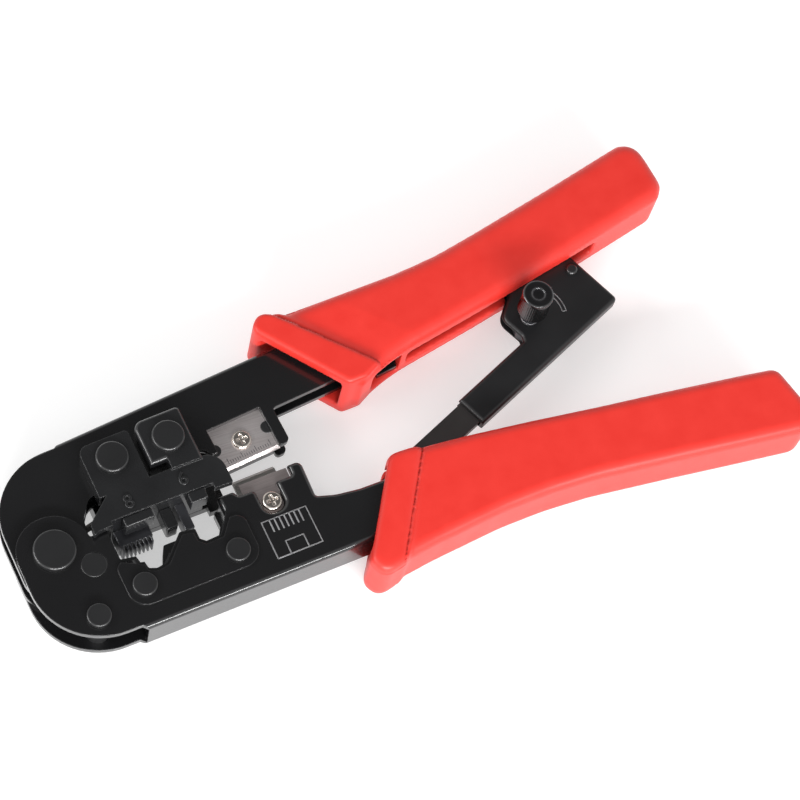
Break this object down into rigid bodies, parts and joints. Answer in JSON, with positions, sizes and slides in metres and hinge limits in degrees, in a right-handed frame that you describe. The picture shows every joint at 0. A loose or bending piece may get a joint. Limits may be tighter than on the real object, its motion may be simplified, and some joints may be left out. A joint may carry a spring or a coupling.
{
  "type": "crimping tool",
  "caption": "Ratcheting hand crimper for modular plugs: two folded steel jaws on one pivot, plug dies, cable blades, red grips and a telescopic ratchet link with a release knob.",
  "frame": {"origin": "on the axis of the main pivot, in the plane the tool lies on", "axes": "+X along the lower jaw's web from the nose towards the handles, +Y from the lower handle to the upper one, +Z out of the front face, which carries the release knob"},
  "size_m": [0.1925, 0.0884, 0.0237],
  "materials": {
    "frame_coat": "glossy black coating over folded sheet steel",
    "link_coat": "satin black coating",
    "rivet_black": "blackened steel, satin",
    "die_steel": "blackened sintered steel",
    "bare_steel": "bare machined steel",
    "blade_steel": "ground steel with lengthwise grinding lines",
    "screw_nickel": "nickel-plated cross-recess screw",
    "spring_steel": "drawn spring wire",
    "knob_nickel": "black nickel, knurled side",
    "red_plastic": "red moulded plastic with a slight sheen"
  },
  "bodies": {
    "lower": {"lower_frame": "frame_coat", "main_pivot_rivet": "rivet_black", "return_spring": "spring_steel", "stop_pin": "rivet_black", "nose_spacer_rivet": "rivet_black", "lower_die_rivets": "rivet_black", "lower_die_block": "die_steel", "lower_die_plate": "die_steel", "lower_blade": "blade_steel", "lower_blade_block": "die_steel", "lower_blade_screw": "screw_nickel", "stripping_stop": "bare_steel", "lower_grip": "red_plastic", "bar_pivot_pin": "rivet_black"},
    "upper": {"upper_frame": "frame_coat", "upper_die_front": "die_steel", "upper_die_back": "die_steel", "upper_die_rivets": "rivet_black", "contact_punch_wide": "bare_steel", "strain_punch_wide": "die_steel", "contact_punch_narrow": "bare_steel", "strain_punch_narrow": "die_steel", "guide_finger": "die_steel", "punch_carrier": "die_steel", "upper_blade": "blade_steel", "blade_holder": "die_steel", "blade_pins": "rivet_black", "upper_blade_screw": "screw_nickel", "upper_grip": "red_plastic", "sleeve_pivot_pin": "rivet_black"},
    "sleeve": {"ratchet_sleeve": "link_coat", "sleeve_rivet": "rivet_black", "pawl_spring": "spring_steel"},
    "bar": {"ratchet_bar": "link_coat"},
    "release": {"release_knob": "knob_nickel", "knob_shaft": "bare_steel", "pawl": "bare_steel"}
  },
  "joints": [
    {"name": "handle_close", "type": "hinge", "parent": "lower", "child": "upper", "pos_m": [0, 0, 0.00875], "axis": [0, 0, -1], "range_deg": [0, 10.5], "stiffness_Nm_per_rad": 0.6, "springref_deg": -28.65},
    {"name": "sleeve_swing", "type": "hinge", "parent": "upper", "child": "sleeve", "pos_m": [0.1405, 0.031, 0.00875], "axis": [0, 0, -1], "range_deg": [0, 12.2]},
    {"name": "bar_slide", "type": "slide", "parent": "sleeve", "child": "bar", "axis": [0.9342, 0.3567, 0], "range_m": [0, 0.0106]},
    {"name": "knob_release", "type": "hinge", "parent": "sleeve", "child": "release", "pos_m": [0.13137, 0.0141, 0.00875], "axis": [0, 0, -1], "range_deg": [0, 20], "stiffness_Nm_per_rad": 0.02, "springref_deg": -17.19}
  ],
  "couplings": [
    {"joint": "sleeve_swing", "follows": "handle_close", "ratio": 1.1524},
    {"joint": "bar_slide", "follows": "handle_close", "m_per_rad": 0.05737}
  ]
}
